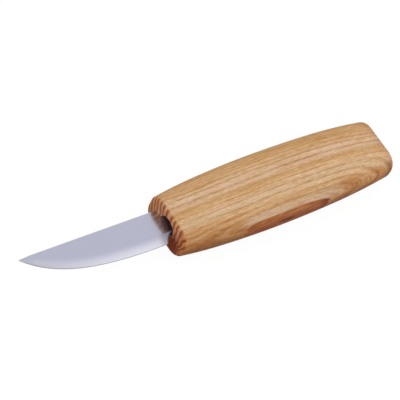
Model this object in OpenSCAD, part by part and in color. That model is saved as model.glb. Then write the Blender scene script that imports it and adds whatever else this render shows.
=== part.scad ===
// Wood carving knife: a short full bevel blade whose stick tang is glued into a drilled ash handle.
// It lies on its side, tip towards minus X and back of the blade towards plus Y.
// Inside each module, x is 0 at the front face of the handle and z is 0 at the middle of the blade.

/* [Handle] */
// length of the wooden handle
handle_len = 115; // [105:1:125]
// height of the handle at its front face
handle_front_h = 26.2; // [24:0.2:29]
// height of the handle at its fullest section
handle_mid_h = 32.2; // [30:0.2:36]
// height of the handle at the butt
handle_butt_h = 26.8; // [24:0.2:29.6]
// thickness of the handle at its front face
handle_front_t = 15.8; // [14.6:0.2:17]
// thickness of the handle between its two flat sides
handle_mid_t = 18; // [17.2:0.2:20]
// thickness of the handle at the butt
handle_butt_t = 14.2; // [13.6:0.2:17]
// distance from the front face to the fullest section
fullest_x = 56; // [48:1:64]
// distance from the front face to where the flat sides begin
side_flat_start = 22; // [14:1:30]
// distance from the front face to where the flat sides end
side_flat_end = 85; // [74:1:94]
// radius of the four long edges
corner_r = 6.5; // [4:0.5:6.5]
// rounding of the rim at the front face
front_rim_r = 1.5; // [0.6:0.1:2]
// rounding of the rim at the butt
butt_rim_r = 2.4; // [1:0.2:3]

/* [Tang hole] */
// diameter of the hole drilled for the tang
hole_d = 10; // [9:0.5:11]
// depth of the hole to the shoulder of its drill point
hole_depth = 60; // [58:1:70]
// full angle of the drill point
drill_angle = 118; // [90:1:140]

/* [Blade] */
// length of the blade from the handle to the tip
blade_len = 65.6; // [58:0.2:76]
// thickness of the blade plate and tang
blade_t = 2.2; // [1.6:0.1:3]
// height of the blade's back over the handle axis at the handle
back_root_y = 8.2; // [7:0.1:9]
// height of the blade's back over the handle axis at the tip
back_tip_y = 8.8; // [8:0.1:9.6]
// distance of the straight cutting edge below the handle axis
edge_y = 7.6; // [6.6:0.1:8.6]
// gap between the handle and the heel of the cutting edge
heel_gap = 3.8; // [2.6:0.1:5]
// radius of the notch behind the heel
notch_r = 6; // [5:0.5:7]
// pull of the straight edge on the belly curve
belly_reach = 32; // [26:0.5:36]
// pull of the tip on the belly curve
tip_reach = 16.6; // [13:0.2:19]
// angle between the handle axis and the cutting edge at the tip
tip_angle = 49; // [42:1:56]
// height of the ground bevel at the heel
bevel_heel_h = 3.4; // [2.6:0.1:4.4]
// height of the ground bevel at the belly
bevel_belly_h = 5; // [4.2:0.1:5.6]
// largest share of the blade's depth that the bevel takes near the tip
bevel_tip_share = 0.65; // [0.5:0.05:0.75]

/* [Tang] */
// length of the tang inside the handle
tang_len = 55; // [44:1:57]
// height of the tang where it leaves the blade
tang_root_h = 6.4; // [5.6:0.2:7]
// height of the tang at its end
tang_end_h = 4.8; // [4:0.2:5.4]

/* [Glue] */
// distance from the front face down to the top of the set glue
glue_setback = 3; // [2.5:0.5:6]

/* [Smoothness] */
// steps round each long edge of the handle
corner_steps = 7; // [5:1:10]
// steps round each rim of the handle
rim_steps = 4; // [3:1:6]
// steps along each curved end of the handle
end_steps = 9; // [6:1:14]
// steps from the start of the flat sides to the fullest section, and from there to their end
middle_steps = 6; // [4:1:10]
// steps along the belly of the blade
belly_steps = 28; // [20:1:36]

/* [Hidden] */
front_x = (blade_len - handle_len) / 2;
blade_z = handle_mid_t / 2;
tip = [-blade_len, back_tip_y];
heel = [-heel_gap, -edge_y];
belly_pull = heel - [belly_reach, 0];
tip_pull = tip + tip_reach * [cos(tip_angle), -sin(tip_angle)];
drill_point = hole_d / 2 / tan(drill_angle / 2);
notch_x = notch_r - heel_gap;
notch_y = -tang_root_h / 2 - notch_r;
// how far one solid runs into the next where they are joined or cut
bite = 0.5;
$fn = 64;

// a value that is middle between two stations and falls off as a parabola outside them
function barrel(x, first, middle, last, from, to) =
    x < from ? middle - (middle - first) * pow((from - x) / from, 2)
    : x > to ? middle - (middle - last) * pow((x - to) / (handle_len - to), 2)
    : middle;

function half_height(x) =
    barrel(x, handle_front_h, handle_mid_h, handle_butt_h, fullest_x, fullest_x) / 2;

function half_thick(x) =
    barrel(x, handle_front_t, handle_mid_t, handle_butt_t, side_flat_start, side_flat_end) / 2;

// rounded rectangle across the handle at x, drawn in by inset
function handle_ring(x, inset) =
    let (hy = half_height(x) - corner_r, hz = half_thick(x) - corner_r, r = corner_r - inset)
    [for (q = [0:3]) for (s = [0:corner_steps])
        let (a = 90 * (q + s / corner_steps))
        [x, (q == 0 || q == 3 ? hy : -hy) + r * cos(a), (q < 2 ? hz : -hz) + r * sin(a)]];

function span(from, to, steps) = [for (s = [0:steps - 1]) from + (to - from) * s / steps];

// every section of the handle from the front face to the butt
function handle_rings() = concat(
    [for (a = span(0, 90, rim_steps)) handle_ring(front_rim_r * (1 - cos(a)), front_rim_r * (1 - sin(a)))],
    [for (x = span(front_rim_r, side_flat_start, end_steps)) handle_ring(x, 0)],
    [for (x = span(side_flat_start, fullest_x, middle_steps)) handle_ring(x, 0)],
    [for (x = span(fullest_x, side_flat_end, middle_steps)) handle_ring(x, 0)],
    [for (x = span(side_flat_end, handle_len - butt_rim_r, end_steps)) handle_ring(x, 0)],
    [for (a = span(90, 0, rim_steps))
        handle_ring(handle_len - butt_rim_r * (1 - cos(a)), butt_rim_r * (1 - sin(a)))],
    [handle_ring(handle_len, butt_rim_r)]
);

// triangles joining each ring of points to the next
function skin(rings, size) =
    [for (i = [0:rings - 2]) for (j = [0:size - 1])
        let (a = i * size + j, b = i * size + (j + 1) % size)
        each [[a, a + size, b + size], [a, b + size, b]]];

function flat(list) = [for (item = list) each item];

// a point of the cutting edge, from the heel at 0 to the tip at 1
function edge_point(t) =
    heel * pow(1 - t, 3) + belly_pull * 3 * pow(1 - t, 2) * t
    + tip_pull * 3 * (1 - t) * t * t + tip * pow(t, 3);

function back_y(x) = back_root_y - (back_tip_y - back_root_y) * x / blade_len;

// bevel height that never takes more than its share of the depth
function bevel_height(wanted, depth) =
    pow(pow(wanted, -4) + pow(bevel_tip_share * depth, -4), -1 / 4);

// section of the blade over one point of the edge: back, grind lines and edge
function blade_ring(edge, wanted) =
    let (top = back_y(edge.x), depth = top - edge.y)
    let (grind = edge.y + bevel_height(wanted, depth), half = blade_t / 2 * min(1, depth / bevel_belly_h))
    [[edge.x, top, half], [edge.x, top, -half], [edge.x, grind, -half], [edge.x, edge.y, 0],
        [edge.x, grind, half]];

// every section of the blade from the handle to just short of the tip
function blade_rings() = concat(
    [blade_ring([0, -edge_y], bevel_heel_h)],
    [for (t = span(0, 1, belly_steps))
        blade_ring(edge_point(t), bevel_heel_h + (bevel_belly_h - bevel_heel_h) * min(1, 2 * t))]
);

module placed() {
    translate([front_x, 0, blade_z]) children();
}

module handle_blank() {
    rings = handle_rings();
    count = len(rings);
    size = len(rings[0]);
    front = [for (j = [0:size - 1]) j];
    butt = [for (j = [0:size - 1]) count * size - 1 - j];
    polyhedron(flat(rings), concat(skin(count, size), [front, butt]));
}

// the drilled space from a depth below the front face to the drill point
module hole_space(start) {
    rotate([0, 90, 0]) {
        translate([0, 0, start]) cylinder(d = hole_d, h = hole_depth - start);
        translate([0, 0, hole_depth]) cylinder(d1 = hole_d, d2 = 0, h = drill_point);
    }
}

module blade_plate() {
    rings = blade_rings();
    count = len(rings);
    last = (count - 1) * 5;
    point = count * 5;
    root = [0, 1, 2, 3, 4];
    fan = [for (j = [0:4]) [last + j, point, last + (j + 1) % 5]];
    polyhedron(concat(flat(rings), [[tip.x, tip.y, 0]]), concat(skin(count, 5), [root], fan));
}

// everything behind the heel and below the tang
module notch_space() {
    linear_extrude(2 * blade_t, center = true) {
        translate([notch_x, notch_y]) circle(r = notch_r);
        translate([notch_x, notch_y - notch_r]) square([tang_len, 2 * notch_r]);
    }
}

module tang_bar() {
    root = tang_root_h / 2;
    end = tang_end_h / 2;
    difference() {
        linear_extrude(blade_t, center = true)
            polygon([[-bite, root], [tang_len, end], [tang_len, -end], [notch_x, -root],
                [notch_x, -root - bite], [-bite, -root - bite]]);
        notch_space();
    }
}

module blade() {
    color("silver") placed() {
        difference() {
            blade_plate();
            notch_space();
        }
        tang_bar();
    }
}

module handle() {
    color("burlywood") placed() difference() {
        handle_blank();
        hole_space(-bite);
    }
}

module tang_glue() {
    color("sienna") placed() difference() {
        hole_space(glue_setback);
        tang_bar();
    }
}

blade();
handle();
tang_glue();
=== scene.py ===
# %% [markdown]
# # A wood carving knife
# The real knife is three things: a steel blade with a stick tang, a handle shaped from one piece of ash,
# and the glue that holds the tang in a hole drilled into the handle. They could be one mesh, but then no
# piece could be dressed or swapped by itself. So the solids of all three are loaded first, and every piece
# made below stands where its solid stands. The knife lies on its side, its tip towards minus X, the back of
# its blade towards plus Y.

# %% Load the solids
import math

import bmesh
import bpy
from mathutils import Matrix, Vector


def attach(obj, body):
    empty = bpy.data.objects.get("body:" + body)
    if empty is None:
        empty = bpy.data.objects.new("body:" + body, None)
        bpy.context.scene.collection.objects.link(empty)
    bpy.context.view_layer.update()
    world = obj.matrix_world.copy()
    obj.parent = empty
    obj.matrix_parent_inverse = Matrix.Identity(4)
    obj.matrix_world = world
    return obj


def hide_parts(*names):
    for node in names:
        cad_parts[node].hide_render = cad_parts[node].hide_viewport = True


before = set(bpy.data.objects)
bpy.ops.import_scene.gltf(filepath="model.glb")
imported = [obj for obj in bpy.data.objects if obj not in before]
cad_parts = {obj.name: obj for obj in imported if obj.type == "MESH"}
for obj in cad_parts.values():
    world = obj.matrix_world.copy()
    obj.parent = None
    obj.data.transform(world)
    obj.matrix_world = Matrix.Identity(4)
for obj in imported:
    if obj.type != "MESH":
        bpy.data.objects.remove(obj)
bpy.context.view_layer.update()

print("solids:", ", ".join(sorted(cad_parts)))

# %% [markdown]
# ## From workshop sizes to the shared frame
# A knife maker measures from the front face of the handle, along its middle, in millimetres. The scene
# counts in metres from the middle of the whole knife, on the surface that it lies on. Every size could be
# written in metres of the scene, but one function that turns the first into the second keeps them as a
# maker writes them.

# %% Turn the maker's millimetres into metres of the frame
HANDLE_LEN = 115.0
BLADE_LEN = 65.6
SIDE_TO_SIDE = 18.0
FRONT_X = (BLADE_LEN - HANDLE_LEN) / 2


def to_frame(point):
    x, y, z = point
    return ((x + FRONT_X) / 1000, y / 1000, (z + SIDE_TO_SIDE / 2) / 1000)


print("front face of the handle at x =", round(to_frame((0, 0, 0))[0], 4), "m")

# %% [markdown]
# ## One way to make every piece
# All three pieces are skins over rows of points, as a boat's planks run over its frames. They could be cut
# from blocks with booleans, but a skin follows a formula exactly and leaves no stray faces.

# %% Join rows of points
def skin(rows):
    width = len(rows[0])
    faces = []
    for i in range(len(rows) - 1):
        for j in range(width):
            a, b = i * width + j, i * width + (j + 1) % width
            faces.append((a, b, b + width, a + width))
    return [point for row in rows for point in row], faces


print("faces between two rows of four points:", len(skin([[0] * 4] * 2)[1]))

# %% [markdown]
# Points that fall together, as at the tip of the blade, are joined, and edges that turn by more than an
# angle are kept crisp. Modifiers could do both, but done once on the mesh they are plain to see and to
# count. Each piece then takes the place of its solid and goes with the one body of the knife.

# %% Make a piece of points and faces
JOIN_M = 2e-7


def make_piece(name, node, points, faces, crisp_deg, other_finishes=()):
    mesh = bpy.data.meshes.new(name)
    mesh.from_pydata([to_frame(p) for p in points], [], faces)
    for finish, chosen in enumerate(other_finishes, start=1):
        for k in chosen:
            mesh.polygons[k].material_index = finish
    bm = bmesh.new()
    bm.from_mesh(mesh)
    bmesh.ops.remove_doubles(bm, verts=bm.verts, dist=JOIN_M)
    bmesh.ops.recalc_face_normals(bm, faces=bm.faces)
    bm.to_mesh(mesh)
    open_edges = sum(not edge.is_manifold for edge in bm.edges)
    bm.free()
    mesh.shade_smooth()
    mesh.set_sharp_from_angle(angle=math.radians(crisp_deg))
    piece = bpy.data.objects.new(name, mesh)
    bpy.context.collection.objects.link(piece)
    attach(piece, "root")
    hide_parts(node)
    print(f"{name}: {len(mesh.vertices)} points, {len(mesh.polygons)} faces, {open_edges} open edges")
    return piece


print("points closer than", round(JOIN_M * 1000, 4), "mm are joined")

# %% [markdown]
# ## The handle
# The handle is a barrel with two flat sides. It is full in the middle, where the palm closes on it, and
# draws in to both ends. It could be carved from a cube with a subdivision surface, but then its sizes would
# drift. Here each section is a rounded rectangle whose height and thickness come from the same curves as
# the solid.

# %% Sections of the handle
FRONT_H, MIDDLE_H, BUTT_H = 26.2, 32.2, 26.8
FRONT_T, BUTT_T = 15.8, 14.2
CORNER_R = 6.5
FULLEST_X = 56.0
FLAT_FROM, FLAT_TO = 22.0, 85.0
CORNER_STEPS, FLAT_STEPS = 14, 6


def barrel(x, front, middle, butt, start, end):
    if x < start:
        return middle - (middle - front) * ((start - x) / start) ** 2
    if x > end:
        return middle - (middle - butt) * ((x - end) / (HANDLE_LEN - end)) ** 2
    return middle


def handle_section(x, inset):
    mid_y = barrel(x, FRONT_H, MIDDLE_H, BUTT_H, FULLEST_X, FULLEST_X) / 2 - CORNER_R
    mid_z = barrel(x, FRONT_T, SIDE_TO_SIDE, BUTT_T, FLAT_FROM, FLAT_TO) / 2 - CORNER_R
    r = CORNER_R - inset
    ring = []
    for q, (side_y, side_z) in enumerate(((1, 1), (-1, 1), (-1, -1), (1, -1))):
        for k in range(CORNER_STEPS + 1):
            a = math.radians(90 * (q + k / CORNER_STEPS))
            ring.append(Vector((x, side_y * mid_y + r * math.cos(a), side_z * mid_z + r * math.sin(a))))
    out = []
    for k, point in enumerate(ring):
        out.append(point)
        if k % (CORNER_STEPS + 1) == CORNER_STEPS:
            following = ring[(k + 1) % len(ring)]
            out += [point.lerp(following, s / FLAT_STEPS) for s in range(1, FLAT_STEPS)]
    return out


print("points round the handle:", len(handle_section(FULLEST_X, 0)))

# %% [markdown]
# The hole for the tang is drilled from the front face. Its lip is eased a little, its wall is straight, and
# it ends in the cone that a twist drill leaves. It could be cut with a boolean, but rows that run from the
# drill point up the wall and out over the front face go on into the outside as one skin.

# %% Handle: hole and front face
FRONT_RIM = 1.5
HOLE_R, HOLE_DEPTH, DRILL_POINT = 5.0, 60.0, 3.0
LIP = 0.35
WALL_ROWS = (HOLE_DEPTH, 40, 20, 10, 6, 4, 3, 2, 1, LIP)
FACE_STEPS = 4


def round_row(row, x, radius):
    angles = [math.atan2(p.z, p.y) for p in row]
    return [Vector((x, radius * math.cos(a), radius * math.sin(a))) for a in angles]


front = handle_section(0, FRONT_RIM)
rows = [round_row(front, HOLE_DEPTH + DRILL_POINT, 0.0)]
rows += [round_row(front, x, HOLE_R) for x in WALL_ROWS]
for a in map(math.radians, (30, 60, 90)):
    rows.append(round_row(front, LIP * (1 - math.sin(a)), HOLE_R + LIP * (1 - math.cos(a))))
mouth = rows[-1]
rows += [[p.lerp(q, s / FACE_STEPS) for p, q in zip(mouth, front)] for s in range(1, FACE_STEPS)]
print("rows of the hole and the front face:", len(rows))

# %% [markdown]
# The rims at both ends are sanded round: 1.5 mm at the front, where the blade comes out, and 2.4 mm at the
# butt, which sits in the palm. A bevel modifier could round them, but rows on a quarter circle give the
# radius exactly and keep the faces in order.

# %% Handle: rims and body
BUTT_RIM = 2.4
RIM_STEPS, BODY_STEPS = 8, 70
WOOD_CRISP = 40
rim = [math.radians(90 * k / RIM_STEPS) for k in range(RIM_STEPS + 1)]
rows += [handle_section(FRONT_RIM * (1 - math.cos(a)), FRONT_RIM * (1 - math.sin(a))) for a in rim]
body = HANDLE_LEN - FRONT_RIM - BUTT_RIM
rows += [handle_section(FRONT_RIM + body * k / BODY_STEPS, 0) for k in range(1, BODY_STEPS)]
for a in reversed(rim):
    rows.append(handle_section(HANDLE_LEN - BUTT_RIM * (1 - math.cos(a)), BUTT_RIM * (1 - math.sin(a))))
points, faces = skin(rows)
faces.append(tuple(range(len(points) - len(front), len(points))))
handle = make_piece("ash_handle", "handle", points, faces, WOOD_CRISP)

# %% [markdown]
# ## The blade
# The blade is a flat plate, 2.2 mm thick, ground on both sides down to the cutting edge. Its edge is
# straight at the heel and sweeps up to the tip. It could be a row of measured points, but one curve with a
# pull at each end has just that shape and stays smooth.

# %% Outline of the blade
BLADE_T = 2.2
HEEL = Vector((-3.8, -7.6))
TIP = Vector((-BLADE_LEN, 8.8))
BACK_ROOT_Y = 8.2
BELLY_REACH, TIP_REACH, TIP_ANGLE = 32.0, 16.6, math.radians(49)
belly_pull = HEEL - Vector((BELLY_REACH, 0))
tip_pull = TIP + TIP_REACH * Vector((math.cos(TIP_ANGLE), -math.sin(TIP_ANGLE)))


def edge_point(t):
    s = 1 - t
    return HEEL * s**3 + belly_pull * (3 * s * s * t) + tip_pull * (3 * s * t * t) + TIP * t**3


def back_y(x):
    return BACK_ROOT_Y - (TIP.y - BACK_ROOT_Y) * x / BLADE_LEN


print("depth of the blade at the heel:", round(back_y(HEEL.x) - HEEL.y, 2), "mm")

# %% [markdown]
# The grind is convex, as a slack belt leaves it: it starts flat and falls ever more steeply to the edge,
# where a stone has honed the last quarter of a millimetre. Towards the tip it grows lower and thinner with
# the blade. It could be two flat bevels, but flat bevels mirror one tone each, and a real grind shades from
# back to edge.

# %% Half thickness of the blade at any height over its edge
GRIND_H, TIP_SHARE = 5.0, 0.75
HONE_H, HONE_GAIN = 0.25, 0.2
BACK_EASE = 0.18


def grind_height(depth):
    return (GRIND_H**-4 + (TIP_SHARE * depth) ** -4) ** -0.25


def half_thick(over_edge, grind, depth):
    thin_tip = min(1, depth / GRIND_H)
    share = min(1, (over_edge + HONE_GAIN * thin_tip) / grind)
    return BLADE_T / 2 * thin_tip * share * (2 - share)


print("grind at mid belly:", round(grind_height(14), 2), "mm high")

# %% [markdown]
# A blade is made from strip, so any cut across it runs from the lower outline to the upper one. Rows of
# points do the same here. They could be evenly spaced, but they lie closer over the grind, where the
# surface turns, and at the eased corner of the back.

# %% Blade: one row of points
GRIND_ROWS = 14
FLAT_SHARES = (0.15, 0.35, 0.55, 0.75, 0.9, 1.0)
HONE_MOST, HONE_OF_GRIND, TURN_MOST = 0.1, 0.3, 0.92
NARROW, NARROW_TURN = 0.1, 0.9


def blade_row(low, high, depth, edge_y):
    span = high.y - low.y
    grind = grind_height(depth)
    eased = 1 - BACK_EASE / max(span, 2 * BACK_EASE)
    ground_h = edge_y + grind - low.y
    hone = min(HONE_H / depth, HONE_MOST, HONE_OF_GRIND * ground_h / max(span, NARROW))
    turn = min(ground_h / span, TURN_MOST * eased) if span > NARROW else NARROW_TURN * eased
    shares = [0] + [hone + (turn - hone) * k / GRIND_ROWS for k in range(GRIND_ROWS + 1)]
    shares += [turn + (eased - turn) * s for s in FLAT_SHARES] + [1.0]
    row = []
    for s in shares:
        p = low.lerp(high, s)
        half = half_thick(p.y - edge_y, grind, depth) if p.y > edge_y else 0.0
        row.append(Vector((p.x, p.y, half - (BACK_EASE * min(1, half) if s == 1.0 else 0))))
    return row


print("points in a row:", len(blade_row(HEEL, Vector((HEEL.x, BACK_ROOT_Y)), BACK_ROOT_Y - HEEL.y, HEEL.y)))

# %% [markdown]
# From the tip to the heel, the lower end of each row follows the edge and the upper end the back. Even
# steps could do, but the edge turns fastest near the tip, so they are a little closer there.

# %% Blade: rows from the tip to the heel
BELLY_STEPS, CLOSER_AT_TIP = 70, 0.8
TIP_DEPTH = 1e-4
rows = []
for k in range(BELLY_STEPS, -1, -1):
    low = edge_point((k / BELLY_STEPS) ** CLOSER_AT_TIP)
    high = Vector((low.x, back_y(low.x)))
    rows.append(blade_row(low, high, max(high.y - low.y, TIP_DEPTH), low.y))
print("rows along the belly:", len(rows))

# %% [markdown]
# Behind the heel a round notch leaves room to sharpen the edge to its very end. From there the plate
# narrows to the tang, which is a stick: on the back it ends in a shoulder that seats on the handle. The
# tang could be a piece of its own, but on the real knife both are one plate, so the same rows run on into
# it.

# %% Blade: notch, shoulder and tang
NOTCH_R, NOTCH_STEPS = 6.0, 18
TANG_LEN, TANG_ROOT, TANG_END = 55.0, 3.2, 2.4
TANG_ROWS = (4.0, 8.0, 20.0, TANG_LEN)
SHOULDER_FROM, SHOULDER_SHARE = 0.4, 0.5
notch = Vector((HEEL.x + NOTCH_R, -TANG_ROOT - NOTCH_R))
notch_start = math.acos((notch.y - HEEL.y) / -NOTCH_R)


def tang_half(x):
    return TANG_ROOT + (TANG_END - TANG_ROOT) * (x - notch.x) / (TANG_LEN - notch.x)


depth = back_y(HEEL.x) - HEEL.y
for k in range(1, NOTCH_STEPS + 1):
    share = k / NOTCH_STEPS
    a = math.pi / 2 + notch_start * (1 - share)
    low = notch + NOTCH_R * Vector((math.cos(a), math.sin(a)))
    if share <= SHOULDER_FROM:
        x = HEEL.x * (1 - share / SHOULDER_FROM)
        high = Vector((x, back_y(x)))
    else:
        down = min(1, (share - SHOULDER_FROM) / SHOULDER_SHARE)
        high = Vector((0.0, BACK_ROOT_Y)).lerp(Vector((0.0, TANG_ROOT)), down)
    rows.append(blade_row(low, high, depth, HEEL.y))
for x in (notch.x, *TANG_ROWS):
    rows.append(blade_row(Vector((x, -tang_half(x))), Vector((x, tang_half(x))), depth, HEEL.y))
print("rows from tip to tang:", len(rows))

# %% [markdown]
# Both sides of a blade are ground alike. A mirror modifier could make the second one, but mirrored rows
# close the skin all round in one go. The honed strip and the grind are noted by their faces, as each gets a
# finish of its own.

# %% Blade: both sides
STEEL_CRISP = 30
mirrored = [[Vector((p.x, p.y, -p.z)) for p in reversed(row)] for row in rows]
points, faces = skin([row + back for row, back in zip(rows, mirrored)])
around = 2 * len(rows[0])
faces.append(tuple(range(len(points) - around, len(points))))
honed_faces = [i * around + j for i in range(BELLY_STEPS) for j in (0, around - 2)]
grind_bands = [*range(1, GRIND_ROWS + 1), *range(around - 2 - GRIND_ROWS, around - 2)]
ground_faces = [i * around + j for i in range(BELLY_STEPS + NOTCH_STEPS) for j in grind_bands]
blade = make_piece("steel_blade", "blade", points, faces, STEEL_CRISP, (honed_faces, ground_faces))

# %% [markdown]
# ## The glue
# The tang is glued into the hole with epoxy, which stops a few millimetres short of the mouth. Set glue
# creeps up whatever it touches, so its top is a hollow ring between the wall of the hole and the tang. A
# plain plug would fill the hole as well, but its flat top would show.

# %% Glue round the tang
GLUE_TOP, CREEP = 3.0, 0.7
GLUE_STEPS = 56
HOLLOW_SHARES = (0, 0.15, 0.35, 0.5, 0.65, 0.85, 1)
NEAR_ZERO = 1e-6
turns = [2 * math.pi * k / GLUE_STEPS for k in range(GLUE_STEPS)]


def tang_row(x):
    row = []
    for a in turns:
        reach_y = tang_half(x) / max(abs(math.cos(a)), NEAR_ZERO)
        reach_z = BLADE_T / 2 / max(abs(math.sin(a)), NEAR_ZERO)
        reach = min(reach_y, reach_z)
        row.append(Vector((x, reach * math.cos(a), reach * math.sin(a))))
    return row


def bore_row(x, radius):
    return [Vector((x, radius * math.cos(a), radius * math.sin(a))) for a in turns]


inner, outer = tang_row(GLUE_TOP), bore_row(GLUE_TOP, HOLE_R)
rows = [[Vector((TANG_LEN, 0, 0))] * GLUE_STEPS, tang_row(TANG_LEN)]
for s in HOLLOW_SHARES:
    dip = Vector((CREEP * math.sin(math.pi * s) ** 0.5, 0, 0))
    rows.append([p.lerp(q, s) + dip for p, q in zip(inner, outer)])
rows += [bore_row(HOLE_DEPTH, HOLE_R), [Vector((HOLE_DEPTH + DRILL_POINT, 0, 0))] * GLUE_STEPS]
points, faces = skin(rows)
glue = make_piece("epoxy_glue", "tang_glue", points, faces, WOOD_CRISP)

# %% [markdown]
# ## Colours and nodes
# Colours are written as the hex values that a picture editor shows, and turned into the linear light that
# Blender works with. They could be written as linear numbers, but nobody can picture those.

# %% Turn a colour to linear light
def linear(code):
    values = [int(code[k : k + 2], 16) / 255 for k in (1, 3, 5)]
    return tuple(v / 12.92 if v <= 0.04045 else ((v + 0.055) / 1.055) ** 2.4 for v in values) + (1.0,)


print("middle grey in linear light:", round(linear("#808080")[0], 3))

# %% [markdown]
# A finish is a tree of nodes. They could be placed by hand in the editor, but a script can be read and run
# again. One small function adds a node, links it and sets it up. Where it is handed a whole node, it links
# that node's first output. The short names are settings that many nodes share.

# %% Add nodes and start a material
SMOOTH = {"interpolation_type": "SMOOTHSTEP"}
STAIN = {"blend_type": "MULTIPLY"}
TIMES = {"operation": "MULTIPLY"}
TIMES_PLUS = {"operation": "MULTIPLY_ADD"}
PLUS = {"operation": "ADD"}
MINUS = {"operation": "SUBTRACT"}
LARGER = {"operation": "MAXIMUM"}
ABSOLUTE = {"operation": "ABSOLUTE"}
LENGTH = {"operation": "LENGTH"}


def add(tree, kind, inputs=None, settings=None):
    node = tree.nodes.new("ShaderNode" + kind)
    for key, value in (settings or {}).items():
        setattr(node, key, value)
    for key, value in (inputs or {}).items():
        if isinstance(value, bpy.types.Node):
            value = value.outputs[0]
        if isinstance(value, bpy.types.NodeSocket):
            tree.links.new(value, node.inputs[key])
        else:
            node.inputs[key].default_value = value
    return node


def new_material(name):
    material = bpy.data.materials.new(name)
    material.use_nodes = True
    material.node_tree.nodes.clear()
    return material, material.node_tree


print("materials before the first finish:", len(bpy.data.materials))

# %% [markdown]
# ## Ash, sanded and oiled
# Ash is a pale wood with plain growth rings. Each year starts with a row of wide pores, which shows as a
# thin dark line, and goes on with dense pale wood. Sanding and oil give the eye a warm, nearly matt
# surface. The wood could be a flat picture wrapped round the handle, but then the lines would break at
# every edge. A solid texture in millimetres gives straight lines on the broad sides, stripes on the front
# face and an oval on the bulge of the lower edge all at once, with no seams.

# %% Ash: the maker's millimetres
ash, tree = new_material("ash_sanded_and_oiled")
place = add(tree, "TexCoord")
mm = add(tree, "Mapping", {
    "Vector": place.outputs["Object"],
    "Location": (-FRONT_X, 0, -SIDE_TO_SIDE / 2),
    "Scale": (1000, 1000, 1000),
})
along, up_hand, side = add(tree, "SeparateXYZ", {"Vector": mm}).outputs
print("the wood's millimetres start at", [round(v, 4) for v in to_frame((0, 0, 0))], "m")

# %% [markdown]
# Wood is made of long thin things that all run one way, so most of its marks are one kind of noise,
# stretched along the grain. Each could be drawn by itself, but stretched noise is quick and never repeats.
# Pores in ash are about 0.25 mm wide and a few millimetres long, and are drawn at 0.4 mm so that they show.
# Fibres are some 0.02 mm wide, far too fine to show, and are drawn ten times as wide. Flecks are the sides
# of the rays. Sway and wander are how the rings themselves stray from flat.

# %% Ash: noises along the grain
MARKS_MM = {
    "sway": (20.0, 5.0), "wander": (50.0, 3.33), "pore": (4.55, 0.417),
    "fibre": (2.38, 0.222), "fleck": (6.25, 0.588), "blotch": (9.09, 2.22),
}
grain = {}
for name, (long_mm, wide_mm) in MARKS_MM.items():
    stretched = add(tree, "Mapping", {"Vector": mm, "Scale": (1 / long_mm, 1 / wide_mm, 1 / wide_mm)})
    detail = 2.0 if name == "wander" else 3.0
    grain[name] = add(tree, "TexNoise", {"Vector": stretched, "Scale": 1.0, "Detail": detail})
print("noises along the grain:", ", ".join(grain))

# %% [markdown]
# The growth rings are nearly flat sheets here, so the depth of a point among them is about its height over
# the middle of the handle. Straight lines would look ruled, so the sheets bow as the trunk did, most of all
# towards the butt, lean a little to one side, and sway by less than a millimetre. A float curve lets the
# bow be drawn as a maker would bend a batten, through a few heights.

# %% Ash: bow, lean and sway of the rings
BOW_MM = (
    (0, 0.6), (10, 0.68), (20, 0.58), (30, 0.37), (45, 0.1),
    (57, 0), (70, 0.17), (85, 0.82), (100, 1.94), (115, 3.53),
)
BOW_MOST = 4.0
RING_LEAN, SWAY_MM = 0.2, 0.9
along_share = add(tree, "Math", {0: along, 1: HANDLE_LEN}, {"operation": "DIVIDE"})
bow = add(tree, "FloatCurve", {"Value": along_share})
batten = bow.mapping.curves[0].points
for x, rise in BOW_MM[1:-1]:
    batten.new(x / HANDLE_LEN, rise / BOW_MOST)
batten[0].location = (0, BOW_MM[0][1] / BOW_MOST)
batten[len(BOW_MM) - 1].location = (1, BOW_MM[-1][1] / BOW_MOST)
bow.mapping.update()
leaning = add(tree, "Math", {0: side, 1: -RING_LEAN, 2: up_hand}, TIMES_PLUS)
bowed = add(tree, "Math", {0: bow, 1: BOW_MOST, 2: leaning}, TIMES_PLUS)
swayed = add(tree, "Math", {0: grain["sway"], 1: SWAY_MM, 2: bowed}, TIMES_PLUS)
print("bow of the rings at the butt:", BOW_MM[-1][1], "mm")

# %% [markdown]
# On the front face the rings show as stripes, and they are not parallel there: they fan out a little
# towards the back, lean the other way low down, wander, and stand wider apart in places. A second set of
# rings could be made for that face, but then the stripes would not meet the lines on the sides. So the same
# depth is bent, and the bend fades out over the first 12 mm.

# %% Ash: fan, wander and spread at the front
FADE_MM = 12.0
SPREADS = ((5.0, 13.0, -1.8), (-3.0, -6.0, -0.5), (-8.5, -12.5, 2.4))
below_top = add(tree, "Math", {0: SIDE_TO_SIDE / 2, 1: side}, MINUS)
fan = add(tree, "MapRange", {"Value": up_hand, "From Min": -2.0, "From Max": 9.0, "To Max": 0.1}, SMOOTH)
low_fan = add(tree, "MapRange", {
    "Value": along, "From Max": FADE_MM, "To Min": -0.55, "To Max": 0.0}, SMOOTH)
both_fans = add(tree, "MapRange", {
    "Value": up_hand, "From Min": -12.5, "From Max": -7.0, "To Min": low_fan, "To Max": fan}, SMOOTH)
wander = add(tree, "Math", {0: grain["wander"], 1: 0.5}, MINUS)
wander_most = add(tree, "MapRange", {
    "Value": up_hand, "From Min": -3.0, "From Max": 4.0, "To Min": 0.5, "To Max": 0.12}, SMOOTH)
wander_here = add(tree, "MapRange", {
    "Value": along, "From Max": FADE_MM, "To Min": wander_most, "To Max": 0.0}, SMOOTH)
fanned = add(tree, "Math", {0: wander, 1: wander_here, 2: both_fans}, TIMES_PLUS)
bent = add(tree, "Math", {0: fanned, 1: below_top, 2: swayed}, TIMES_PLUS)
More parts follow.
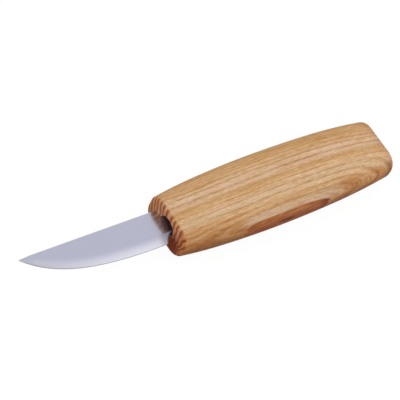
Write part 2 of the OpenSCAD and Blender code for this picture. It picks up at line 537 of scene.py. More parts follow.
for from_mm, to_mm, most in SPREADS:
    here = add(tree, "MapRange", {
        "Value": along, "From Max": FADE_MM, "To Min": most, "To Max": 0.0}, SMOOTH)
    spread = add(tree, "MapRange", {
        "Value": up_hand, "From Min": from_mm, "From Max": to_mm, "To Max": here})
    bent = add(tree, "Math", {0: bent, 1: spread}, PLUS)
print("stripes are spread in", len(SPREADS), "places")

# %% [markdown]
# At the butt the rings dive under the lower edge, as they do beside a knot, and show as nested arcs there.
# A knot could be modelled, but it lay outside the piece: raising the depth towards that corner gives the
# same arcs.

# %% Ash: dive at the butt, and the depth that comes of it all
DIVE_MM = 5.0
RING_REACH = 18.0
to_butt = add(tree, "MapRange", {
    "Value": along, "From Min": 84.0, "From Max": 121.0, "To Max": DIVE_MM}, SMOOTH)
low_edge = add(tree, "MapRange", {"Value": up_hand, "From Min": -4.5, "From Max": -14.5}, SMOOTH)
dived = add(tree, "Math", {0: to_butt, 1: low_edge, 2: bent}, TIMES_PLUS)
ring_mm = add(tree, "Math", {0: dived, 1: RING_LEAN * SIDE_TO_SIDE / 2 - SWAY_MM / 2}, PLUS)
ring_place = add(tree, "MapRange", {"Value": ring_mm, "From Min": -RING_REACH, "From Max": RING_REACH})
print("rings are counted over", 2 * RING_REACH, "mm of depth")

# %% [markdown]
# Streaks and bands of colour follow the rings, not the handle. Their noise could be laid out like the
# pores, but then they would cross the year lines, so it is laid out by ring depth.

# %% Ash: noises that follow the rings
RING_MARKS_MM = {"streak": (25.0, 0.833, 3.33), "band": (33.3, 1.67, 10.0)}
ring_space = add(tree, "CombineXYZ", {"X": along, "Y": ring_mm, "Z": side})
for name, sizes in RING_MARKS_MM.items():
    stretched = add(tree, "Mapping", {"Vector": ring_space, "Scale": [1 / size for size in sizes]})
    grain[name] = add(tree, "TexNoise", {"Vector": stretched, "Scale": 1.0, "Detail": 3.0})
print("noises along the rings:", ", ".join(RING_MARKS_MM))

# %% [markdown]
# The broad colour follows the depth of the wood: pale years and tan years take turns. One colour with noise
# could do from far off, but here the eye sees each year, so a colour ramp runs through the depths.

# %% Ash: broad colour
BROAD_COLOURS = (
    (-13.2, "#D8AC7C"), (-12.4, "#D2A676"), (-11.2, "#E4B987"), (-10.4, "#DEB283"),
    (-9.2, "#E8C196"), (-6.2, "#E3BE97"), (-3.6, "#E6BC8F"), (-1.5, "#E2B580"), (-0.6, "#D8A973"),
    (0.5, "#D8A973"), (1.7, "#E2BA93"), (4.8, "#E8C19C"), (7.0, "#DFB586"), (8.7, "#DDAE7C"),
    (9.8, "#D9AB75"), (13.0, "#D7A871"),
)


def lay_colours(ramp, colours, reach):
    stops = ramp.elements
    stops.remove(stops[0])
    for k, (at_mm, code) in enumerate(colours):
        share = 0.5 + at_mm / (2 * reach)
        stop = stops[0] if k == 0 else stops.new(share)
        stop.position = share
        stop.color = linear(code)


broad = add(tree, "ValToRGB", {"Fac": ring_place})
lay_colours(broad.color_ramp, BROAD_COLOURS, RING_REACH)
print("broad colours:", len(BROAD_COLOURS))

# %% [markdown]
# Near both ends of the lower edge the surface dips across the fibres, drinks more oil and is browner. A
# painted mask would end in a line, but this brown reaches into the pale wood in fingers along the rings,
# and pale blotches are left in it. So the height at which it starts is shifted by the noise of the bands.

# %% Ash: where the lower ends are browner
FINGER_MM, FINGER_RISE = 5.0, 0.035
MIDDLE_X = 56.5
finger_mid = FINGER_MM / 2
fingers = add(tree, "Math", {0: grain["band"], 1: FINGER_MM, 2: leaning}, TIMES_PLUS)
low_mm = add(tree, "Math", {0: along, 1: FINGER_RISE, 2: fingers}, TIMES_PLUS)
low_down = add(tree, "MapRange", {
    "Value": low_mm, "From Min": finger_mid - 8.8, "From Max": finger_mid - 10.8, "To Max": 0.95}, SMOOTH)
off_middle = add(tree, "Math", {0: along, 1: MIDDLE_X}, MINUS)
off_middle = add(tree, "Math", {0: off_middle}, ABSOLUTE)
near_end = add(tree, "MapRange", {"Value": off_middle, "From Min": 18.5, "From Max": 30.5}, SMOOTH)
unblotched = add(tree, "MapRange", {
    "Value": grain["blotch"], "From Min": 0.5, "From Max": 0.68, "To Min": 1.0, "To Max": 0.8}, SMOOTH)
thirst = add(tree, "Math", {0: near_end, 1: low_down}, TIMES)
thirst = add(tree, "Math", {0: thirst, 1: unblotched}, TIMES)
print("brown fingers reach", FINGER_MM, "mm at most")

# %% [markdown]
# The brown itself has paler bands along the rings, fainter at the very edge. One brown could do, but it
# would look like a spill, so two browns are mixed by the noise of the bands.

# %% Ash: brown of the lower ends
banded = add(tree, "MapRange", {"Value": grain["band"], "From Min": 0.42, "From Max": 0.62}, SMOOTH)
less_deep = add(tree, "MapRange", {
    "Value": low_mm, "From Min": finger_mid - 12.4, "From Max": finger_mid - 11.0, "To Min": 0.65}, SMOOTH)
banded = add(tree, "Math", {0: banded, 1: less_deep}, TIMES)
brown = add(tree, "MixRGB", {"Fac": banded, "Color1": linear("#CC925B"), "Color2": linear("#DFAE78")})
thirsty = add(tree, "MixRGB", {"Fac": thirst, "Color1": broad, "Color2": brown})
print("ash so far:", len(tree.nodes), "nodes")

# %% [markdown]
# In the middle of the lower edge the bulge has cut into a sliver of red-brown heartwood. It is an oval,
# squarer than an ellipse. A mesh could be cut along its outline, but raising the shares of its two
# half-axes to a power above two gives such an oval with one number: three for the rounder end and seven for
# the squarer one.

# %% Ash: how far a point is from the middle of the heartwood
HEART_X, HEART_LONG, HEART_HIGH = 54.0, 22.8, 5.6
FRAY = 0.2
heart_place = add(tree, "Mapping", {
    "Vector": mm, "Location": (-HEART_X / HEART_LONG, 0, 0), "Scale": (1 / HEART_LONG, 0, 1 / HEART_HIGH)})
heart_shares = add(tree, "VectorMath", {0: heart_place}, ABSOLUTE)
heart_axis = add(tree, "SeparateXYZ", {"Vector": heart_shares})
oval = {}
for power in (3, 7):
    long_term = add(tree, "Math", {0: heart_axis.outputs["X"], 1: power}, {"operation": "POWER"})
    high_term = add(tree, "Math", {0: heart_axis.outputs["Z"], 1: power}, {"operation": "POWER"})
    both = add(tree, "Math", {0: long_term, 1: high_term}, PLUS)
    reach = add(tree, "Math", {0: both, 1: 1 / power}, {"operation": "POWER"})
    frayed = add(tree, "Math", {0: grain["streak"], 1: FRAY, 2: reach}, TIMES_PLUS)
    oval[power] = add(tree, "Math", {0: frayed, 1: FRAY / 2}, MINUS)
on_edge = add(tree, "MapRange", {"Value": up_hand, "From Min": -11.4, "From Max": -13.4}, SMOOTH)
print("heartwood:", 2 * HEART_LONG, "mm long and", 2 * HEART_HIGH, "mm wide")

# %% [markdown]
# The wood next to the heartwood is the palest of all, in a strip over its upper side that reaches further
# down towards the butt. It could be one more oval, but the one at hand, taken a little further out, is
# enough.

# %% Ash: pale wood round the heartwood
halo = add(tree, "MapRange", {"Value": oval[3], "From Min": 1.56, "From Max": 1.22, "To Max": 0.9}, SMOOTH)
reach_down = add(tree, "MapRange", {
    "Value": along, "From Min": 40.0, "From Max": 78.0, "To Max": 3.4}, SMOOTH)
raised = add(tree, "Math", {0: side, 1: reach_down}, PLUS)
upward = add(tree, "MapRange", {"Value": raised, "From Min": 4.0, "From Max": 6.5}, SMOOTH)
halo_share = add(tree, "Math", {0: halo, 1: on_edge}, TIMES)
halo_share = add(tree, "Math", {0: halo_share, 1: upward}, TIMES)
paled = add(tree, "MixRGB", {"Fac": halo_share, "Color1": thirsty, "Color2": linear("#E1BD9B")})
print("ash so far:", len(tree.nodes), "nodes")

# %% [markdown]
# The year lines follow a count: a curve gives the number of the year at each depth, and the distance to the
# nearest whole number gives the line. A wave texture would draw even lines, but years differ in width and
# in how dark their line is. Close up each line is broken into dashes, because it is a row of long pores.

# %% Ash: year lines
YEAR_LINES = (-12.3, -10.4, -7.75, -4.8, -2.4, 0.1, 3.45, 6.15, 7.85, 9.7, 11.0, 12.6, 14.3)
YEAR_DARK = (0.5, 0.6, 0.8, 0.7, 0.75, 0.4, 1.0, 0.8, 0.85, 0.5, 0.5, 0.6, 0.6)
SPARE_YEARS = 2
YEAR_SPAN = SPARE_YEARS + len(YEAR_LINES) - 1 + SPARE_YEARS
year = add(tree, "FloatCurve", {"Value": ring_place})
year_dark = add(tree, "FloatCurve", {"Value": ring_place})
for k, (line, dark) in enumerate(zip(YEAR_LINES, YEAR_DARK)):
    year.mapping.curves[0].points.new(0.5 + line / (2 * RING_REACH), (k + SPARE_YEARS) / YEAR_SPAN)
    year_dark.mapping.curves[0].points.new(0.5 + line / (2 * RING_REACH), dark)
year.mapping.update()
year_dark.mapping.update()
count = add(tree, "Math", {0: year, 1: YEAR_SPAN}, TIMES)
within = add(tree, "Math", {0: count, 1: 0.5}, {"operation": "PINGPONG"})
line_ramp = add(tree, "MapRange", {"Value": within, "From Min": 0.24, "From Max": 0.02}, SMOOTH)
year_line = add(tree, "Math", {0: line_ramp, 1: year_dark}, TIMES)
pores = add(tree, "MapRange", {
    "Value": grain["pore"], "From Min": 0.4, "From Max": 0.62, "To Min": 0.5}, SMOOTH)
dash = add(tree, "Math", {0: year_line, 1: pores}, TIMES)
lined = add(tree, "MixRGB", {"Fac": dash, "Color1": paled, "Color2": linear("#CDBB98")}, STAIN)
print("year lines:", len(YEAR_LINES))

# %% [markdown]
# Between the year lines run finer ones, 0.62 mm apart. They could be left out on the broad side, where they
# are faint, but they are plainer low down towards the butt, where the surface cuts the rings at a slant and
# spreads them. They are counted as the years are, with streaks to break them up.

# %% Ash: fine rings
FINE_MM = 0.62
fine_count = add(tree, "Math", {0: ring_mm, 1: 1 / FINE_MM, 2: grain["streak"]}, TIMES_PLUS)
fine_within = add(tree, "Math", {0: fine_count, 1: 0.5}, {"operation": "PINGPONG"})
fine_share = add(tree, "MapRange", {"Value": fine_within, "From Min": 0.32, "From Max": 0.05}, SMOOTH)
fine_low = add(tree, "MapRange", {
    "Value": ring_mm, "From Min": -11.5, "From Max": -8.5, "To Min": 1.0, "To Max": 0.4}, SMOOTH)
fine_butt = add(tree, "MapRange", {
    "Value": along, "From Min": 30.0, "From Max": 80.0, "To Min": 0.45}, SMOOTH)
for plainer in (fine_low, fine_butt, pores):
    fine_share = add(tree, "Math", {0: fine_share, 1: plainer}, TIMES)
fine_lined = add(tree, "MixRGB", {"Fac": fine_share, "Color1": lined, "Color2": linear("#E6D3B9")}, STAIN)
print("fine rings in the wood:", round(2 * RING_REACH / FINE_MM))

# %% [markdown]
# Rays show on the broad sides as pale flecks, and no two bundles of fibres are quite the same tone. One
# noise could darken the whole, but fibres vary more in warmth than in light, so the tones are factors that
# take most from blue. A factor can be above one, which a hex colour cannot, so these are written as plain
# numbers.

# %% Ash: flecks, then the tone of fibres and streaks
TONES = {"fibre": (0.79, 0.66, 0.46), "streak": (0.9, 0.82, 0.66)}
fleck = add(tree, "MapRange", {
    "Value": grain["fleck"], "From Min": 0.48, "From Max": 0.7, "To Max": 0.24}, SMOOTH)
flecked = add(tree, "MixRGB", {"Fac": fleck, "Color1": fine_lined, "Color2": linear("#F2CFB2")})
tone = {}
for name, dark in TONES.items():
    pale = [2 - v for v in dark]
    share = add(tree, "MapRange", {"Value": grain[name], "From Min": 0.25, "From Max": 0.75})
    tone[name] = add(tree, "MixRGB", {"Fac": share, "Color1": (*dark, 1), "Color2": (*pale, 1)})
grain_tone = add(tree, "VectorMath", {0: tone["fibre"], 1: tone["streak"]}, TIMES)
grained = add(tree, "VectorMath", {0: flecked, 1: grain_tone}, TIMES)
print("tones:", ", ".join(tone))

# %% [markdown]
# The heartwood itself is red-brown and streaky, and darker at both ends; low down, where it turns under, it
# is darker still as painted shade. One flat colour would look like a patch of paint, so each of these is
# laid over the last.

# %% Ash: colour of the heartwood
heart_streak = add(tree, "MapRange", {"Value": grain["blotch"], "From Min": 0.35, "From Max": 0.65}, SMOOTH)
heart = add(tree, "MixRGB", {
    "Fac": heart_streak, "Color1": linear("#B06431"), "Color2": linear("#C8824E")})
left_end = add(tree, "MapRange", {
    "Value": along, "From Min": 39.0, "From Max": 33.0, "To Max": 0.55}, SMOOTH)
right_end = add(tree, "MapRange", {"Value": along, "From Min": 67.0, "From Max": 75.0}, SMOOTH)
# low down the heartwood is darkened as painted shade
low_heart_shade = add(tree, "MapRange", {
    "Value": side, "From Min": 2.2, "From Max": -1.5, "To Max": 0.62}, SMOOTH)
heart_ends_and_shade = add(tree, "Math", {0: left_end, 1: right_end}, LARGER)
heart_ends_and_shade = add(tree, "Math", {0: heart_ends_and_shade, 1: low_heart_shade}, LARGER)
heart_ended_and_shaded = add(tree, "MixRGB", {"Fac": heart_ends_and_shade, "Color1": heart, "Color2": linear("#8C3A06")})
print("ash so far:", len(tree.nodes), "nodes")

# %% [markdown]
# In its middle is a small dark core, where the pith was near. It could be one more squarish oval, but its
# edge is soft, so the plain distance from its middle is enough. The tone of the fibres goes over it all.

# %% Ash: dark core of the heartwood
CORE_X, CORE_Z, CORE_LONG, CORE_HIGH = 53.5, -0.4, 6.0, 2.0
core_place = add(tree, "Mapping", {
    "Vector": mm, "Location": (-CORE_X / CORE_LONG, 0, -CORE_Z / CORE_HIGH),
    "Scale": (1 / CORE_LONG, 0, 1 / CORE_HIGH)})
core_far = add(tree, "VectorMath", {0: core_place}, LENGTH)
core = add(tree, "MapRange", {
    "Value": core_far.outputs["Value"], "From Min": 1.1, "From Max": 0.3, "To Max": 0.85}, SMOOTH)
cored = add(tree, "MixRGB", {"Fac": core, "Color1": heart_ended_and_shaded, "Color2": linear("#6A2000")})
heart_grain = add(tree, "VectorMath", {0: cored, 1: grain_tone}, TIMES)
print("dark core:", 2 * CORE_LONG, "mm long")

# %% [markdown]
# The sliver has a sharp rim, squarer towards the blade and rounder towards the butt. Two ovals could
# overlap there, but going over from one to the other along the handle leaves no corner.

# %% Ash: lay the heartwood in
rounder = add(tree, "MapRange", {"Value": along, "From Min": 50.0, "From Max": 72.0}, SMOOTH)
heart_rim = add(tree, "Mix", {"Factor": rounder, "A": oval[7], "B": oval[3]})
in_heart = add(tree, "MapRange", {"Value": heart_rim, "From Min": 1.04, "From Max": 0.95}, SMOOTH)
heart_share = add(tree, "Math", {0: in_heart, 1: on_edge}, TIMES)
hearted = add(tree, "MixRGB", {"Fac": heart_share, "Color1": grained, "Color2": heart_grain})
print("ash so far:", len(tree.nodes), "nodes")

# %% [markdown]
# End grain is a bundle of open straws. It drinks the oil and turns darker and redder than the sides, and
# each year's row of pores shows as a broad dark stripe. The end faces could have a material of their own,
# but the rounded rims would need a border. So the colour changes with the way the surface faces: along the
# grain or across it.

# %% Ash: end grain
facing = add(tree, "SeparateXYZ", {"Vector": place.outputs["Normal"]})
end_on = add(tree, "Math", {0: facing.outputs["X"]}, ABSOLUTE)
end_share = add(tree, "MapRange", {"Value": end_on, "From Min": 0.15, "From Max": 0.8}, SMOOTH)
stripe = add(tree, "MapRange", {"Value": within, "From Min": 0.1, "From Max": 0.4}, SMOOTH)
end_tone = add(tree, "MixRGB", {"Fac": stripe, "Color1": linear("#A96337"), "Color2": linear("#E8A77A")})
end_grain = add(tree, "VectorMath", {0: end_tone, 1: grain_tone}, TIMES)
ended = add(tree, "MixRGB", {"Fac": end_share, "Color1": hearted, "Color2": end_grain})
print("ash so far:", len(tree.nodes), "nodes")

# %% [markdown]
# Below the hole the front end has drunk most oil and lies in shade, so its dark spot is partly oil and
# partly painted shade, and the whole lower end of that face is more orange and darker as painted shade.
# Both could be drawn in a picture, but as stains by place they keep the stripes under them.

# %% Ash: oil and painted shade at the front
OIL_SHADE_Y, OIL_SHADE_Z, OIL_SHADE_HIGH, OIL_SHADE_WIDE = -6.9, -3.0, 5.5, 7.5
FRONT_DEPTH = 5.0
oil_shade_place = add(tree, "Mapping", {
    "Vector": mm, "Location": (0, -OIL_SHADE_Y / OIL_SHADE_HIGH, -OIL_SHADE_Z / OIL_SHADE_WIDE),
    "Scale": (0, 1 / OIL_SHADE_HIGH, 1 / OIL_SHADE_WIDE)})
# the spot below the hole is partly oil and partly painted shade
oil_shade_far = add(tree, "VectorMath", {0: oil_shade_place}, LENGTH)
oil_shade = add(tree, "MapRange", {
    "Value": oil_shade_far.outputs["Value"], "From Min": 1.15, "From Max": 0.25}, SMOOTH)
at_front = add(tree, "Math", {0: along, 1: FRONT_DEPTH}, {"operation": "LESS_THAN"})
front_face = add(tree, "Math", {0: end_share, 1: at_front}, TIMES)
oil_shade = add(tree, "Math", {0: oil_shade, 1: front_face}, TIMES)
# the lower end of the front face turns darker and more orange as painted shade
low_front_shade = add(tree, "MapRange", {
    "Value": up_hand, "From Min": -6.5, "From Max": -11.0, "To Max": front_face}, SMOOTH)
oranged_and_shaded = add(tree, "MixRGB", {"Fac": low_front_shade, "Color1": ended, "Color2": linear("#F0D2B2")}, STAIN)
print("oil below the hole:", 2 * OIL_SHADE_HIGH, "mm high")

# %% [markdown]
# The lower corner of the butt is darker as well, and its rim is a little darker too, as painted shade. Each
# could be a stain of its own, but the largest of the shares at a point lets one stain serve for all three.

# %% Ash: darker butt corner and painted shade on its rim
at_butt = add(tree, "MapRange", {
    "Value": along, "From Min": 106.5, "From Max": 112.0, "To Max": 0.6}, SMOOTH)
low_butt = add(tree, "MapRange", {"Value": up_hand, "From Min": -9.0, "From Max": -12.0}, SMOOTH)
dark_butt_corner = add(tree, "Math", {0: at_butt, 1: low_butt}, TIMES)
# the rim of the butt is darkened as painted shade
butt_rim_shade = add(tree, "MapRange", {
    "Value": along, "From Min": 107.0, "From Max": 113.5, "To Max": 0.22}, SMOOTH)
for stain in (dark_butt_corner, butt_rim_shade):
    oil_shade = add(tree, "Math", {0: oil_shade, 1: stain}, LARGER)
oil_and_shade_stained = add(tree, "MixRGB", {"Fac": oil_shade, "Color1": oranged_and_shaded, "Color2": linear("#A66B4C")}, STAIN)
print("ash so far:", len(tree.nodes), "nodes")

# %% [markdown]
# The wall of the drilled hole is scorched brown by the drill, and its darkening further in and low down is
# painted shade in the hole. It could be a second material on those faces, but the eased lip would then end
# in a line. The distance from the axis tells the wall from the rest.

# %% Ash: drilled hole
off_axis = add(tree, "VectorMath", {0: mm, 1: (0, 1, 1)}, TIMES)
from_axis = add(tree, "VectorMath", {0: off_axis}, LENGTH)
in_hole = add(tree, "MapRange", {
    "Value": from_axis.outputs["Value"], "From Min": HOLE_R + LIP, "From Max": HOLE_R})
not_butt = add(tree, "Math", {0: along, 1: HOLE_DEPTH + DRILL_POINT + 1}, {"operation": "LESS_THAN"})
scorch_and_shade_mask = add(tree, "Math", {0: in_hole, 1: not_butt}, TIMES)
# further in and low down the wall is darkened as painted shade
deep_shade = add(tree, "MapRange", {"Value": along, "From Min": 1.2, "From Max": 3.0})
scorched_and_shaded_wall = add(tree, "MixRGB", {"Fac": deep_shade, "Color1": linear("#EFC4AA"), "Color2": linear("#C07A60")})
low_wall_shade = add(tree, "MapRange", {"Value": up_hand, "From Min": -2.0, "From Max": -4.8}, SMOOTH)
scorched_and_shaded_wall = add(tree, "MixRGB", {"Fac": low_wall_shade, "Color1": scorched_and_shaded_wall, "Color2": linear("#5E3626")})
drilled = add(tree, "MixRGB", {"Fac": scorch_and_shade_mask, "Color1": oil_and_shade_stained, "Color2": scorched_and_shaded_wall})
print("scorched wall:", HOLE_DEPTH, "mm deep")

# %% [markdown]
# The lower edge, towards the underside, is painted darker and warmer: painted shade, where it turns away
# from the light and faces the sheet. The lamps could give some of that, but a ramp from the underside to
# the near face darkens it, and end grain and heartwood, which are dark enough, are spared.

# %% Ash: painted shade on the lower edge
LOWER_EDGE_SHADE = ((-2.5, "#C0AA95"), (0.0, "#E4CDB4"), (2.0, "#FDECD9"), (4.2, "#FFF6EC"), (6.3, "#FFFFFF"))
side_share = add(tree, "MapRange", {
    "Value": side, "From Min": -SIDE_TO_SIDE / 2, "From Max": SIDE_TO_SIDE / 2})
painted_edge_shade = add(tree, "ValToRGB", {"Fac": side_share})
lay_colours(painted_edge_shade.color_ramp, LOWER_EDGE_SHADE, SIDE_TO_SIDE / 2)
# the ramp darkens the lower edge towards the underside as painted shade
lower_edge_shade_mask = add(tree, "MapRange", {"Value": up_hand, "From Min": -9.0, "From Max": -11.0}, SMOOTH)
spared = add(tree, "Math", {0: end_share, 1: heart_share}, LARGER)
painted_shade_share = add(tree, "Math", {0: 1.0, 1: spared}, MINUS)
painted_shade_share = add(tree, "Math", {0: painted_shade_share, 1: lower_edge_shade_mask}, TIMES)
wood_colour = add(tree, "MixRGB", {"Fac": painted_shade_share, "Color1": drilled, "Color2": painted_edge_shade}, STAIN)
print("steps of wear:", len(LOWER_EDGE_SHADE))

# %% [markdown]
# Sanded and oiled ash is nearly matt: the oil lies in the wood, not on it. A clear coat would look
# varnished, so the shader keeps the usual index of wood, 1.5, a high roughness and little of the mirror.
# The open pores are fine dents, too small to model, and a bump of a tenth of a millimetre stands for them.

# %% Ash: finish
PORE_DEEP_M = 0.0001


def dress(piece, material, shader):
    tree = material.node_tree
    add(tree, "OutputMaterial", {"Surface": shader})
    piece.data.materials.append(material)
    print(f"{material.name}: {len(tree.nodes)} nodes")


bump = add(tree, "Bump", {"Strength": 0.25, "Distance": PORE_DEEP_M, "Height": grain["pore"]})
ash_shader = add(tree, "BsdfPrincipled", {
    "Base Color": wood_colour, "Roughness": 0.6, "IOR": 1.5, "Specular IOR Level": 0.12, "Normal": bump})
dress(handle, ash, ash_shader)

# %% [markdown]
# ## Carbon steel, ground and polished
# The blade is ground on a belt along its length and then polished, but not to a mirror. The eye sees the
# front face of the handle in its flat, a little blurred. What is left of the grinding are hair lines along
# the blade, about 0.05 mm apart on the real one. They could be cut into the mesh, but a stretched noise
# does the same, and it is drawn 0.4 mm wide here so that it shows as a faint grain.

# %% Steel of the blade
HAIR_MM = (16.7, 0.4, 0.4)
CLOUD_MM = 11.1
HAIR_DEEP_M = 0.00002
STEEL_TONES = (linear("#C4C5D8"), linear("#CCCDE0"))
steel, tree = new_material("carbon_steel_ground_and_polished")
place = add(tree, "TexCoord")
hair = add(tree, "Mapping", {
    "Vector": place.outputs["Object"], "Scale": [1000 / size for size in HAIR_MM]})
hair_noise = add(tree, "TexNoise", {"Vector": hair, "Scale": 1.0, "Detail": 2.0})
cloud = add(tree, "TexNoise", {
    "Vector": place.outputs["Object"], "Scale": 1000 / CLOUD_MM, "Detail": 2.0})
polish = add(tree, "MapRange", {
    "Value": cloud, "From Min": 0.3, "From Max": 0.7, "To Min": 0.17, "To Max": 0.23})
tint = add(tree, "MixRGB", {"Fac": hair_noise, "Color1": STEEL_TONES[0], "Color2": STEEL_TONES[1]})
bump = add(tree, "Bump", {"Strength": 0.06, "Distance": HAIR_DEEP_M, "Height": hair_noise})
steel_shader = add(tree, "BsdfPrincipled", {
    "Base Color": tint, "Metallic": 1.0, "Roughness": polish, "Normal": bump})
dress(blade, steel, steel_shader)

# %% [markdown]
# The very edge is honed on a stone at a steeper angle. That leaves a strip a quarter of a millimetre wide,
# with fine scratches across it, which reads as a thin grey line. Its grey is darker than steel is: partly
# the scratches, partly a painted dark reflection. A line could be drawn by colour alone, but the strip has
# its own faces, so its own steel is simpler. Scratches from a stone are some 0.02 mm wide and are drawn ten
# times as wide.

# %% Steel of the honed edge
SCRATCH_MM = (0.2, 2.5, 2.5)
honed, tree = new_material("carbon_steel_honed_on_stone")
place = add(tree, "TexCoord")
scratch = add(tree, "Mapping", {
    "Vector": place.outputs["Object"], "Scale": [1000 / size for size in SCRATCH_MM]})
scratch_noise = add(tree, "TexNoise", {"Vector": scratch, "Scale": 1.0, "Detail": 2.0})
# the grey is partly scratches and partly a painted dark reflection
scratched_grey_and_dark_reflection = add(tree, "MixRGB", {
    "Fac": scratch_noise, "Color1": linear("#8E8F9A"), "Color2": linear("#ABACB6")})
honed_shader = add(tree, "BsdfPrincipled", {"Base Color": scratched_grey_and_dark_reflection, "Metallic": 1.0, "Roughness": 0.4})
dress(blade, honed, honed_shader)

# %% [markdown]
# The grind above that strip comes straight from the belt and is not polished after. It is satin: it spreads
# what it mirrors so far that only soft light and dark are left. One roughness could do, but the belt bites
# harder where the steel curves away to the edge, and hardest at the heel, where it is set down. So the
# roughness grows with the tilt and again near the heel.

# %% Steel of the grind: roughness
HEEL_FROM, HEEL_TO = -7, -2
HEEL_ROUGH = 0.7
ground, tree = new_material("carbon_steel_ground_on_belt")
place = add(tree, "TexCoord")
belt = add(tree, "Mapping", {
    "Vector": place.outputs["Object"], "Scale": [1000 / size for size in HAIR_MM]})
belt_noise = add(tree, "TexNoise", {"Vector": belt, "Scale": 1.0, "Detail": 2.0})
facing = add(tree, "SeparateXYZ", {"Vector": place.outputs["Normal"]})
tilt = add(tree, "Math", {0: facing.outputs["Y"]}, ABSOLUTE)
satin = add(tree, "MapRange", {"Value": tilt, "From Max": 0.3, "To Min": 0.27, "To Max": 0.42})
blade_along = add(tree, "SeparateXYZ", {"Vector": place.outputs["Object"]})
by_heel = add(tree, "MapRange", {
    "Value": blade_along.outputs["X"],
    "From Min": to_frame((HEEL_FROM, 0, 0))[0], "From Max": to_frame((HEEL_TO, 0, 0))[0]}, SMOOTH)
coarse = add(tree, "MapRange", {"Value": tilt, "From Max": 0.04, "To Max": by_heel}, SMOOTH)
satin = add(tree, "MapRange", {"Value": coarse, "To Min": satin, "To Max": HEEL_ROUGH})
print("roughest at the heel:", HEEL_ROUGH)

# %% [markdown]
# The belt leaves lines along the grind like the hair lines of the flat, so both have the same two tones.
# One pair of tones could do for all of it, but where the grind falls steeply to the edge its colour is
# paler and a little less blue with the tilt, a painted highlight.

# %% Steel of the grind: colour
tint = add(tree, "MixRGB", {"Fac": belt_noise, "Color1": STEEL_TONES[0], "Color2": STEEL_TONES[1]})
tilt_highlight = add(tree, "MapRange", {"Value": tilt, "From Min": 0.1, "From Max": 0.4})
# paler steel where the grind tilts is a painted highlight
tint = add(tree, "MixRGB", {"Fac": tilt_highlight, "Color1": tint, "Color2": linear("#D0CFD8")})
ground_shader = add(tree, "BsdfPrincipled", {"Base Color": tint, "Metallic": 1.0, "Roughness": satin})
dress(blade, ground, ground_shader)

# %% [markdown]
# ## Epoxy, set
# Epoxy sets clear amber. In a hole, over dust from the drill, the eye sees it as a dark brown with a dull
# shine. It could be made see-through, but there is only dark wood behind it, so a brown that varies by the
# grain of the dust, drawn about a millimetre coarse, is enough.

# %% Epoxy of the glue
DUST_MM = 1.11
epoxy, tree = new_material("epoxy_set_amber")
place = add(tree, "TexCoord")
dust = add(tree, "TexNoise", {"Vector": place.outputs["Object"], "Scale": 1000 / DUST_MM, "Detail": 3.0})
amber = add(tree, "MixRGB", {"Fac": dust, "Color1": linear("#553022"), "Color2": linear("#70422E")})
epoxy_shader = add(tree, "BsdfPrincipled", {
    "Base Color": amber, "Roughness": 0.5, "IOR": 1.55, "Specular IOR Level": 0.25})
dress(glue, epoxy, epoxy_shader)

# %% [markdown]
# ## Sheet, room and light
# The knife lies on a plain white sheet in a white room. Both could be lit until they are white, but then
# the knife would be too bright. So rays that look straight at them, from the camera or by way of steel or
# glass, find a white of their own, and all other rays find a plain pale surface.

# %% Rays that look straight at the sheet or the room
paper, paper_tree = new_material("paper_matt_white")
world = bpy.data.worlds.new("white_room")
world.use_nodes = True
world.node_tree.nodes.clear()
looked_at = []
for tree in (paper_tree, world.node_tree):
    rays = add(tree, "LightPath")
    seen = add(tree, "Math", {0: rays.outputs["Is Camera Ray"], 1: rays.outputs["Is Glossy Ray"]}, LARGER)
    looked_at.append(add(tree, "Math", {0: seen, 1: rays.outputs["Is Transmission Ray"]}, LARGER))
print("surfaces with a white of their own:", len(looked_at))

# %% [markdown]
# The sheet is matt paper: the eye sees plain white with a faint shadow. A sheet with no light of its own
# would turn grey round the knife, so most of its white is its own and a small part is lit, which keeps the
# shadow.

# %% White sheet
SHEET_M, BELOW_M = 3.0, -0.00005
OWN_WHITE = 0.945
sheet_mesh = bpy.data.meshes.new("white_sheet")
corners = [(x * SHEET_M, y * SHEET_M, BELOW_M) for x, y in ((-1, -1), (1, -1), (1, 1), (-1, 1))]
sheet_mesh.from_pydata(corners, [], [(0, 1, 2, 3)])
sheet = bpy.data.objects.new("white_sheet", sheet_mesh)
bpy.context.collection.objects.link(sheet)
paper_grey = add(paper_tree, "MixRGB", {
    "Fac": looked_at[0], "Color1": linear("#9C9C9C"), "Color2": linear("#515151")})
matt = add(paper_tree, "BsdfDiffuse", {"Color": paper_grey})
own_white = add(paper_tree, "Math", {0: looked_at[0], 1: OWN_WHITE}, TIMES)
white = add(paper_tree, "Emission", {"Strength": own_white})
paper_shader = add(paper_tree, "AddShader", {0: matt, 1: white})
dress(sheet, paper, paper_shader)
print("sheet:", 2 * SHEET_M, "m wide")

# %% [markdown]
# The room gives even light from all round, and steel shows it as white. Walls could be built, but a plain
# background lights the same and costs nothing.

# %% Room
ROOM_LIGHT = 0.92
tree = world.node_tree
level = add(tree, "MapRange", {"Value": looked_at[1], "To Min": ROOM_LIGHT})
room = add(tree, "Background", {"Strength": level})
add(tree, "OutputWorld", {"Surface": room})
bpy.context.scene.world = world
print("light of the room:", ROOM_LIGHT)

# %% [markdown]
# One large soft box, up and to the right of the camera, gives the light a side. A sun lamp would throw a
# hard shadow; a disc nearly three metres wide, brighter in its middle as a lamp behind cloth is, throws a
# soft one.

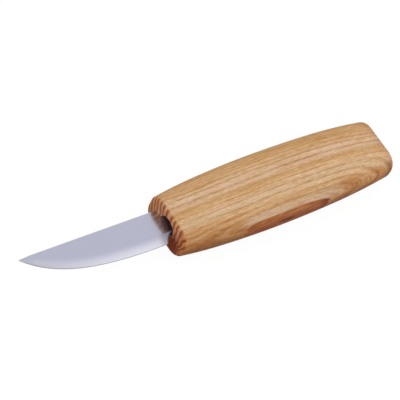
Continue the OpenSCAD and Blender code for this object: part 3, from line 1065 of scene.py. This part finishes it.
# %% Soft box
BOX_WIDE_M, BOX_WATTS, BOX_AWAY_M = 2.7, 19.0, 1.6
towards = Vector((0.68, -0.36, 0.64)).normalized()
lamp = bpy.data.lights.new("soft_box", "AREA")
lamp.shape = "DISK"
lamp.size = BOX_WIDE_M
lamp.energy = BOX_WATTS
lamp.use_nodes = True
tree = lamp.node_tree
tree.nodes.clear()
spot = add(tree, "NewGeometry")
from_centre = add(tree, "VectorMath", {0: spot.outputs["Parametric"], 1: (0.5, 0.5, 0)}, MINUS)
off_centre = add(tree, "VectorMath", {0: from_centre}, LENGTH)
glow = add(tree, "MapRange", {
    "Value": off_centre.outputs["Value"], "From Min": 0.5, "From Max": 0.0}, SMOOTH)
cloth = add(tree, "Emission", {"Strength": glow})
add(tree, "OutputLight", {"Surface": cloth})
soft_box = bpy.data.objects.new("soft_box", lamp)
bpy.context.collection.objects.link(soft_box)
soft_box.location = towards * BOX_AWAY_M
soft_box.rotation_euler = towards.to_track_quat("Z", "Y").to_euler()
print("soft box at", [round(v, 2) for v in soft_box.location])

# %% [markdown]
# ## Camera
# The photograph was taken from above the tip, from far off with a long lens, and turned so that the knife
# lies across the frame. The camera could be placed by eye, but its angles, distance and lens were worked
# out from the outline of the handle, so that both pictures can be laid over each other.

# %% Directions of the camera
AZIMUTH, ELEVATION, ROLL = (math.radians(a) for a in (-55.64, 50.25, 28.04))
level_right = Vector((math.cos(AZIMUTH), math.sin(AZIMUTH), 0))
level_back = Vector((math.sin(AZIMUTH), -math.cos(AZIMUTH), 0))
back = level_back * math.cos(ELEVATION) + Vector((0, 0, math.sin(ELEVATION)))
level_up = back.cross(level_right)
right = level_right * math.cos(ROLL) + level_up * math.sin(ROLL)
up = level_up * math.cos(ROLL) - level_right * math.sin(ROLL)
print("the camera looks down by", round(math.degrees(ELEVATION), 2), "degrees")

# %% [markdown]
# From far off a lens draws both ends of a thing nearly the same size. A camera without perspective could
# stand for it, but a real lens still draws the near end a little larger, and so does this one.

# %% Camera
AIM_MM = Vector((20.12, 4.91, 2.39))
DISTANCE_M = 0.744
SENSOR_MM, LENS_MM = 36.0, 162.0
lens = bpy.data.cameras.new("long_lens")
lens.sensor_width = SENSOR_MM
lens.lens = LENS_MM
lens.clip_start = 0.05
camera = bpy.data.objects.new("long_lens", lens)
bpy.context.collection.objects.link(camera)
turn = Matrix((right, up, back)).transposed().to_4x4()
camera.matrix_world = Matrix.Translation(Vector(to_frame(AIM_MM)) + back * DISTANCE_M) @ turn
bpy.context.scene.camera = camera
bpy.context.scene.view_settings.view_transform = "Standard"
print("camera at", [round(v, 4) for v in camera.matrix_world.translation])
